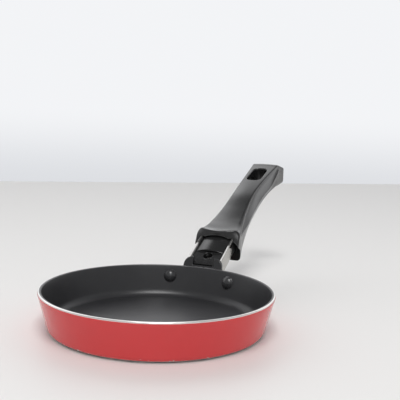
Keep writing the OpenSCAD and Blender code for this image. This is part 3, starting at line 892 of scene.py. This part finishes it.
def grip_rings(t, inset, shrink):
    """Rings of the loft at the shares t, shrunk all round by inset and then drawn towards the section's middle by
    shrink: an array of (stations, points, 3)."""
    t, inset, shrink = [np.asarray(v, float)[:, None] for v in (t, inset, shrink)]
    k, out = curve(t, "hood_w"), curve(t, "ridge_out")
    r = GRIP_EDGE_R + (HOOD_EDGE_R - GRIP_EDGE_R) * k
    side = grip_half(t) + EDGE_SHARE * r - inset
    lift = CORNER_LIFT * np.maximum(0, 1 - t / LIFT_SHARE) ** 1.5
    top, low = grip_top(t) - inset, grip_top(t) - grip_depth(t) + inset
    ridge = top - np.maximum(grip_depth(t) * curve(t, "ridge_at"), r + RIDGE_ROOM)
    flank = side + FLANK_OUT * out + HOOD_FLARE * k
    belly = np.minimum(GRIP_BELLY_R + (HOOD_BELLY_R - GRIP_BELLY_R) * k, ridge - low)
    u = np.linspace(0, 1, 7)[:-1]
    crown_x, crown_z = (side - r) * u, top + CROWN * (1 - u ** 2) + lift * u ** 2
    a = np.linspace(np.pi / 2, 0, 9)
    edge_x, edge_z = side - r + r * np.cos(a), top - r + (r + lift) * np.sin(a)
    u = np.linspace(0, 1, 15)[1:]
    side_x, side_z = side + RIDGE_OUT * out * u ** RIDGE_POWER, top - r + (ridge - top + r) * u
    u = np.linspace(0, 1, 8)[1:-1]
    flank_x, flank_z = side_x[:, -1:] + (flank - side_x[:, -1:]) * u, ridge + (low + belly - ridge) * u
    a = np.linspace(0, np.pi / 2, 10)
    belly_x, belly_z = flank - belly + belly * np.cos(a), low + belly - belly * np.sin(a)
    u = np.linspace(1, 0, 6)[1:]
    sole_x, sole_z = (flank - belly) * u, low + 0 * u
    x = np.concatenate([crown_x, edge_x, side_x, flank_x, belly_x, sole_x], 1)
    z = np.concatenate([crown_z, edge_z, side_z, flank_z, belly_z, sole_z], 1)
    middle = grip_top(t) - grip_depth(t) / 2
    x, z = x * shrink, middle + (z - middle) * shrink
    half = xyz(x, grip_y(t) + bow(x, z, t), z)
    return np.concatenate([half, half[:, -2:0:-1] * [-1, 1, 1]], 1)


def loft(stations=170, fill=12):
    """The rounded front edge, the length and the rounded end, with the bowed front filled by shrinking rings."""
    front, end = FRONT_R / HANDLE_LEN, END_R / HANDLE_LEN
    t = np.concatenate([np.zeros(fill), quarter(front, 6)[1], np.linspace(front, 1 - end, stations + 2)[1:-1],
                        1 - quarter(end, 6)[0]])
    inset = np.concatenate([np.full(fill, FRONT_R), quarter(FRONT_R, 6)[0], np.zeros(stations),
                            quarter(END_R, 6)[1]])
    shrink = np.concatenate([np.linspace(0, 1, fill + 1)[:-1], np.ones(len(t) - fill)])
    rings = grip_rings(t, inset, shrink)
    skin = Skin().grid(rings, across=True)
    return skin.patch(rings[-1], [list(range(rings.shape[1]))])


print("section has", grip_rings([0.5], [0], [1]).shape[1], "points")

# %% [markdown]
# The tongue is a second loft along the neck. Its crown is an arc that dips below the rails at both sides. In front
# the crown ends in a step, and the flat seat of the screw lies before it. Behind the plate the tongue fills the
# channel, and a narrower nose reaches forward between the ears.

# %% The tongue
SLIDE, TONGUE_CREST, CROWN_R, NOSE_FRONT, SEAT_LEN, SEAT_Z = 0.2, 0.5, 33.0, 1.0, 14.6, -2.0
TONGUE_W, NOSE_W = CHANNEL_W - 2 * SHEET_T - 2 * SLIDE, EAR_GAP - 2 * SLIDE
TONGUE_SHOULDER_R, TONGUE_FOOT_R, NOSE_SIDE_R, NOSE_EDGE_R, NOSE_LEN = 1.2, 0.8, 0.3, 0.45, 9.0


def tongue_line():
    """Section of the tongue: flat foot, upright sides, rounded shoulders and an arc of radius CROWN_R on top."""
    low, half = -CHANNEL_H + SHEET_T + SLIDE, TONGUE_W / 2
    flat = half - TONGUE_SHOULDER_R - 0.2
    x = np.concatenate([[half], np.linspace(flat, -flat, 25), [-half]])
    arc = np.column_stack([x, TONGUE_CREST - CROWN_R + np.sqrt(CROWN_R ** 2 - x ** 2)])
    corners = np.concatenate([[[-half, low], [half, low]], arc])
    radii = np.zeros(len(corners))
    radii[[0, 1]], radii[[2, -1]] = TONGUE_FOOT_R, TONGUE_SHOULDER_R
    return rounded(corners, radii, 8)


def step_rows(foot=0.5, head=0.6, steps=5):
    """(distance up the slope, share of the crown's height) over the step: a quarter circle at its foot and one at
    its head."""
    a = np.linspace(0, np.pi / 2, steps + 1)
    low = np.stack([SEAT_LEN - foot + foot * np.sin(a), foot / 2 * (1 - np.cos(a))], -1)
    high = np.stack([SEAT_LEN + head * (1 - np.cos(a)), 1 - head / 2 * (1 - np.sin(a))], -1)
    return np.concatenate([low, high])


def tongue():
    """Rows of the section along the slope, whose top is cut down to the seat in front of the step."""
    line = tongue_line()
    start = slope_start(line[:, 0], line[:, 1], PLATE_T + SLIDE)
    steps = step_rows()
    way = np.concatenate([np.linspace(0, 1, 6)[:-1, None] * (steps[0, 0] - start) + start,
                          np.repeat(steps[:, :1], len(line), 1),
                          np.repeat(np.linspace(SEAT_LEN + 1.2, RAIL_END + 1, 8)[:, None], len(line), 1)])
    share = np.concatenate([np.zeros(5), steps[:, 1], np.ones(8)])[:, None]
    cut = np.minimum(line[:, 1], SEAT_Z)
    return Skin().tube(in_neck(xyz(line[:, 0], way, cut + (line[:, 1] - cut) * share)))


def nose():
    """A flat bar between the ears whose top is a hair under the screw's seat. Its front edge is a quarter circle."""
    floor, w = RIM_Z + SADDLE_H + SLIDE, NOSE_W / 2
    rows = []
    for i, behind in [*zip(*quarter(NOSE_EDGE_R, 4)), (0, NOSE_LEN / 3), (0, NOSE_LEN)]:
        y = RIM_R + NOSE_FRONT + behind
        top = RIM_Z + RAIL_RISE + (y - RIM_R) * np.tan(NECK_TILT) + SEAT_Z / np.cos(NECK_TILT) - 0.001
        corners = [[-w + i, floor + i], [w - i, floor + i], [w - i, top - i], [-w + i, top - i]]
        line = rounded(corners, NOSE_SIDE_R, 4)
        rows.append(xyz(line[:, 0], y, line[:, 1]))
    return Skin().tube(np.stack(rows))


print("tongue is", TONGUE_W, "mm wide")

# %% [markdown]
# Holes and recesses are cut with a boolean. Each cutter is flared by a quarter circle where it leaves the surface, so
# the cut gets a rounded lip without a bevel.

# %% Cutters
SLOT_LEN, SLOT_W, SLOT_R, SLOT_SHARE, SLOT_TILT, SLOT_STEP = 29.0, 13.5, 5.0, 0.682, np.radians(19), 1.5
VISOR_T, ARCH_R, ARCH_REACH, MOUTH_D, MOUTH_TAPER = 3.3, 26.0, 20.0, 8.5, 0.3
COUNTERBORE_D, COUNTERBORE_H, SCREW_IN, RAIL_ROOM_R = 7.4, 6.2, 10.5, 0.4


def slot_cutter(lip=1.1):
    """A rounded rectangle carried down through the grip, square to its top, with a flare that follows the top and
    the underside."""
    w, l = SLOT_W / 2, SLOT_LEN / 2
    line = resampled(rounded([[-w, -l], [w, -l], [w, l], [-w, l]], SLOT_R, 8), SLOT_STEP)
    outward = -left_of(np.roll(line, -1, 0) - np.roll(line, 1, 0))
    c, s = np.cos(SLOT_TILT), np.sin(SLOT_TILT)
    origin = np.array([0, grip_y(SLOT_SHARE), grip_top(SLOT_SHARE)])

    def place(flat, height):
        """From the slot's own plane to the model's frame: turned by the slot's tilt and moved to the grip's top."""
        return origin + xyz(flat[:, 0], flat[:, 1] * c - height * s, flat[:, 1] * s + height * c)

    def skin_height(flat, under):
        """Height of the grip's top or underside over the slot's own plane, found with a few fixed steps."""
        h = np.full(len(flat), -20.0 if under else 0.0)
        for _ in range(8):
            p = place(flat, h)
            t = (p[:, 1] - grip_y(0)) / HANDLE_LEN
            wanted = grip_top(t) - (grip_depth(t) if under else -CROWN * (1 - (flat[:, 0] / grip_half(t)) ** 2))
            h = h + (wanted - p[:, 2]) / c
        return h

    out, deep = quarter(lip)
    hair = 0.02
    upper, lower = skin_height(line, False), skin_height(line, True)
    rows = [place(line + outward * (lip + 10 * hair), upper + 2)]
    rows += [place(line + outward * (o + hair), upper - d + hair * (d == 0)) for o, d in zip(out, deep)]
    rows += [place(line + outward * (o + hair), lower + d - hair * (d == 0)) for o, d in zip(out[::-1], deep[::-1])]
    rows.append(place(line + outward * (lip + 10 * hair), lower - 2))
    return Skin().tube(np.stack(rows))


def mouth_cutter(lip=0.7):
    """A drum on an axis along Y that tapers inwards. Its radius grows by a flare where it leaves the bowed front.
    The drum is wider than the hood, so the front's bow is only followed within the arch's reach."""
    out, deep = quarter(lip)
    front, z0, steps = RIM_R + NECK_LEN, RIM_Z + HOOD_RISE - VISOR_T - ARCH_R, 200
    a = (np.arange(steps) + 0.5) * 2 * np.pi / steps
    arch_x, arch_z = ARCH_R * np.cos(a), z0 + ARCH_R * np.sin(a)
    face = front + bow(np.clip(arch_x, -ARCH_REACH, ARCH_REACH), arch_z, 0.0)
    rs = np.concatenate([[ARCH_R + lip], ARCH_R + out - deep * MOUTH_TAPER, [ARCH_R - MOUTH_D * MOUTH_TAPER]])
    rs = rs[:, None]
    before, behind = np.full_like(face, front - 2), np.full_like(face, front + MOUTH_D)
    ys = np.concatenate([[before], face + deep[:, None], [behind]])
    return Skin().tube(xyz(rs * np.cos(a), ys, z0 + rs * np.sin(a)))


def bore_cutter(lip=0.4):
    """The screw's counterbore: a round hole square to the neck's slope, flared where it leaves the seat."""
    out, deep = quarter(lip)
    zs = np.concatenate([[SEAT_Z + 1], SEAT_Z - deep, [SEAT_Z - COUNTERBORE_H]])
    rs = COUNTERBORE_D / 2 + np.concatenate([[lip], out, [0]])
    return Skin().tube(in_neck(turned(np.stack([rs, zs], -1), 64) + [0, SCREW_IN, 0]))


def rail_cutter():
    """The channel's own section with 0.2 mm to spare, from in front of the handle to the end of the rails."""
    w, h = CHANNEL_W + 2 * SLIDE, CHANNEL_H + 2 * SLIDE
    line = rounded([[-w / 2, SLIDE], [-w / 2, SLIDE - h], [w / 2, SLIDE - h], [w / 2, SLIDE]],
                   [RAIL_ROOM_R, BEND_R, BEND_R, RAIL_ROOM_R], 6)
    ends = [xyz(line[:, 0], y, line[:, 1]) for y in (0.0, RAIL_END + SLIDE)]
    return Skin().tube(in_neck(np.stack(ends)))


def combine(base, *steps):
    """Applies boolean steps, ("DIFFERENCE" or "UNION", mesh), to a mesh and returns the result."""
    body, tools = add("work", base), []
    for operation, mesh in steps:
        tools.append(add("tool", mesh))
        modifier = body.modifiers.new("cut", "BOOLEAN")
        modifier.operation, modifier.object, modifier.solver = operation, tools[-1], "EXACT"
    bpy.context.view_layer.update()
    done = bpy.data.meshes.new_from_object(body.evaluated_get(bpy.context.evaluated_depsgraph_get()))
    for item in (body, *tools):
        bpy.data.objects.remove(item)
    return done


print("cutters ready")

# %% [markdown]
# Phenolic is a hard black moulding compound. Fresh from a polished mould it has a soft sheen with a very fine grain,
# and the wood flour in it makes faint cloudy differences in gloss. The tongue was never handled and keeps more of
# its gloss. The colour is never quite black, and a painted highlight makes the thin lip of the arch a little grey.

# %% Phenolic finish
phenolic = Finish("phenolic")
flow = phenolic.stretched((6, 30, 6), detail=3.0)
fleck, grain = phenolic.noise(0.35, 2.0), phenolic.noise(1.1, 3.0)
black = phenolic.mix(flow * 0.5 + fleck * 0.5, (0.010, 0.010, 0.010), (0.019, 0.019, 0.0195))
x, y, z = phenolic.parts()
arch_z = z - (RIM_Z + HOOD_RISE - VISOR_T - ARCH_R) * MM
off_arch = ((x * x + arch_z * arch_z) ** 0.5 - (ARCH_R + 0.2) * MM).math("ABSOLUTE")
at_front = 1 - y.rise(grip_y(0.01) * MM, grip_y(0.03) * MM)
# Painted highlight: a thin grey line along the lip of the arch, on the hood's front.
painted_lip_highlight = (1 - off_arch.rise(0.2 * MM, 0.55 * MM)) * at_front * z.rise((RIM_Z + 10) * MM, (RIM_Z + 16) * MM)
phenolic.set("Base Color", phenolic.mix(painted_lip_highlight * fleck.rise(0.25, 0.6), black, (0.11, 0.11, 0.11)))
polished = 1 - y.rise(grip_y(-0.02) * MM, grip_y(0.03) * MM)
phenolic.set("Roughness", 0.14 + 0.09 * flow + 0.05 * fleck - 0.06 * polished)
phenolic.bump(grain * 0.012 + fleck * 0.004)
print("phenolic finish ready")

# %% [markdown]
# The handle is put together from its loft: the mouth and the channel's room are cut out, the tongue and the nose are
# joined on, and the slot and the screw's counterbore are cut through. A last modifier evens the shading of its large
# faces.

# %% Handle
handle_mesh = combine(
    loft().mesh("loft"),
    ("DIFFERENCE", mouth_cutter().mesh("mouth")),
    ("DIFFERENCE", rail_cutter().mesh("rails")),
    ("UNION", tongue().mesh("tongue")),
    ("UNION", nose().mesh("nose")),
    ("DIFFERENCE", slot_cutter().mesh("slot")),
    ("DIFFERENCE", bore_cutter().mesh("bore")),
)
handle_mesh.name = "moulded_handle"
smooth(handle_mesh, 32)
handle = piece("moulded_handle", handle_mesh, phenolic, "phenolic", "handle")
weighted = handle.modifiers.new("even_normals", "WEIGHTED_NORMAL")
weighted.keep_sharp, weighted.weight = True, 80

# %% [markdown]
# ## Screw, washer and nut
#
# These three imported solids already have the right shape, so they stay and only get a finish: zinc plate, a
# slightly yellowish grey with cloudy patches and dull marks from the driver.

# %% Zinc finish
zinc = Finish("zinc_plate", metallic=1.0)
cloud, scuff = zinc.noise(1.2, 4.0), zinc.noise(0.4, 2.0)
zinc.set("Base Color", zinc.mix(cloud, (0.30, 0.30, 0.30), (0.46, 0.45, 0.43)))
zinc.set("Roughness", 0.28 + 0.2 * cloud)
zinc.bump(scuff * 0.01)
for node in ("fixing_screw", "screw_washer", "square_nut"):
    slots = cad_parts[node].data.materials
    slots.clear()
    slots.append(zinc.material)
print("zinc finish on the screw, the washer and the nut")

# %% [markdown]
# ## Table, backdrop and light
#
# The pan stands on a pale table in a bright room. The table ends a good metre behind the pan, at an edge that runs
# 15 degrees askew, and a pale backdrop shows above it, a little greyer near the table. Every direction round the pan
# is named as the camera sees it: azimuth 0 is behind the camera, 90 to its right and 180 straight away. The table
# lies a twentieth of a millimetre low, so that its face and the pan's base aren't in one plane.

# %% Table
def direction(azimuth, elevation):
    """Unit vector towards an azimuth and an elevation, in degrees."""
    a, e = np.radians([azimuth, elevation])
    return turn_z(HANDLE_TURN) @ [np.sin(a) * np.cos(e), -np.cos(a) * np.cos(e), np.sin(e)]


TABLE_BEHIND, TABLE_SIDE, TABLE_TURN, TABLE_DROP = 1.17, 9.0, -15.0, 0.05 * MM
far, across = direction(180 - TABLE_TURN, 0), direction(90 - TABLE_TURN, 0)
sides = (-1, -TABLE_SIDE), (1, -TABLE_SIDE), (1, TABLE_BEHIND), (-1, TABLE_BEHIND)
corners = [across * TABLE_SIDE * i + far * j for i, j in sides]
table_mesh = bpy.data.meshes.new("table")
table_mesh.from_pydata([tuple(c - [0, 0, TABLE_DROP]) for c in corners], [], [(0, 1, 2, 3)])
table = add("table", table_mesh)
paint = Finish("table_paint", specular=0.3)
paint.set("Base Color", (0.74, 0.73, 0.715, 1.0)).set("Roughness", 0.5)
table_mesh.materials.append(paint.material)
print("table ends", TABLE_BEHIND, "m behind the pan")

# %% [markdown]
# Black gloss is only as good as what it reflects, so the room isn't one flat grey. It is brightest in a bank of
# windows behind the pan, with one pane brighter than the rest a little to the left, and dim overhead. That makes the
# sheen run along the handle. A low bright spot on the right lights the handle's side, and one above the camera
# lights the bend between the pan's floor and its wall. The camera itself sees a plain backdrop.

# %% Room
world = bpy.data.worlds.new("room")
bpy.context.scene.world = world
world.use_nodes = True
room = Pattern(world.node_tree, "Generated")
x, y, z = room.parts()


def patch_of_light(azimuth, elevation, inner, outer):
    """1 within inner degrees of a direction, 0 beyond outer degrees, from the cosine of the angle between."""
    d = direction(azimuth, elevation)
    return (x * float(d[0]) + y * float(d[1]) + z * float(d[2])).rise(*np.cos(np.radians([outer, inner])).tolist())


WINDOWS_AZIMUTH, WINDOWS_STRENGTH = -165, 0.85
SPOTS = [  # azimuth, elevation, full within, gone beyond, strength
    (WINDOWS_AZIMUTH, 45, 3, 11, 1.7),
    (118, 5, 3, 13, 1.2),
    (2, 45, 4, 15, 3.8),
]
walls = 0.56 - 0.38 * z.rise(0.55, 0.9)
away = direction(WINDOWS_AZIMUTH, 0)
windows = (x * float(away[0]) + y * float(away[1])).rise(0.2, 0.6) * z.rise(0.08, 0.32) * (1 - z.rise(0.80, 0.86))
level = walls + windows * WINDOWS_STRENGTH
for *where, strength in SPOTS:
    level = level + strength * patch_of_light(*where)
backdrop = room.mix(z.rise(-0.09, 0.03), (0.72, 0.735, 0.765), (0.895, 0.905, 0.925))
light = room.node("ShaderNodeBackground", {}, {"Color": (0.98, 0.985, 1.0, 1.0), "Strength": level})
view = room.node("ShaderNodeBackground", {}, {"Color": backdrop, "Strength": 1.0})
camera_ray = room.node("ShaderNodeLightPath", {}, {}, "Is Camera Ray")
shown = room.node("ShaderNodeMixShader", {}, {0: camera_ray, 1: light, 2: view})
feed(world.node_tree, world.node_tree.nodes["World Output"].inputs["Surface"], shown)
print("room ready")

# %% [markdown]
# One soft square lamp hangs over the camera's side of the pan, turned towards it. It draws the soft shadow under the
# pan. Colours are shown as they are written, so the view transform is the plain one.

# %% Lamp
LAMP_AZIMUTH, LAMP_ELEVATION, LAMP_AWAY, LAMP_SIDE, LAMP_POWER = 0, 68, 1.5, 0.55, 10.5
spot = direction(LAMP_AZIMUTH, LAMP_ELEVATION) * LAMP_AWAY
lamp = bpy.data.lights.new("high_window", "AREA")
lamp.shape, lamp.size, lamp.energy = "SQUARE", LAMP_SIDE, LAMP_POWER
hung = add("high_window", lamp)
hung.matrix_world = Matrix.Translation(spot) @ Vector(spot).to_track_quat("Z", "Y").to_matrix().to_4x4()
bpy.context.scene.view_settings.view_transform = "Standard"
print("lamp at", spot.round(2), "m")
